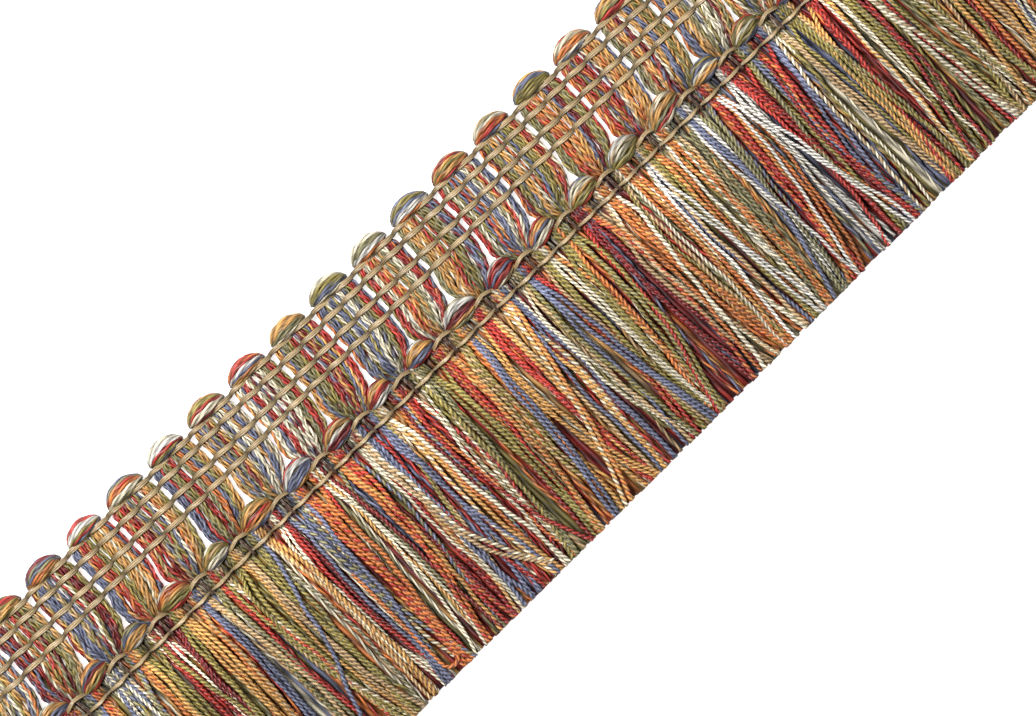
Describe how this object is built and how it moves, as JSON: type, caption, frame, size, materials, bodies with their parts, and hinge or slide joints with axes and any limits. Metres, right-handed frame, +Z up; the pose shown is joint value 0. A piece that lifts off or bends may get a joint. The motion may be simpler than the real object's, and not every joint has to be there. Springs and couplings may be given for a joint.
{
  "type": "fringe trim",
  "caption": "Cut length of multicoloured brush fringe lying flat: a woven open heading with looped bundles, small bridging loops, crossing threads and a thick cut skirt of twisted yarn.",
  "frame": {"origin": "on the surface it lies on, under the middle of its outline", "axes": "+X along the trim, to the right when it is seen from above with its loops at the top, +Y from the cut skirt to the loops, +Z up from the surface"},
  "size_m": [0.2545, 0.07, 0.0044],
  "materials": {
    "gimp_yarn": "soft sheen, bundles of two-ply yarn in red, gold, olive, slate and cream",
    "skirt_yarn": "soft sheen, two-ply yarn in red, gold, olive, slate and cream",
    "binding_thread": "satin tan twisted thread"
  },
  "bodies": {
    "root": {"heading": "gimp_yarn", "heading_thread_1": "binding_thread", "heading_thread_2": "binding_thread", "heading_thread_3": "binding_thread", "heading_thread_4": "binding_thread", "strip_thread_1": "binding_thread", "strip_thread_2": "binding_thread", "fringe": "skirt_yarn"}
  },
  "joints": []
}
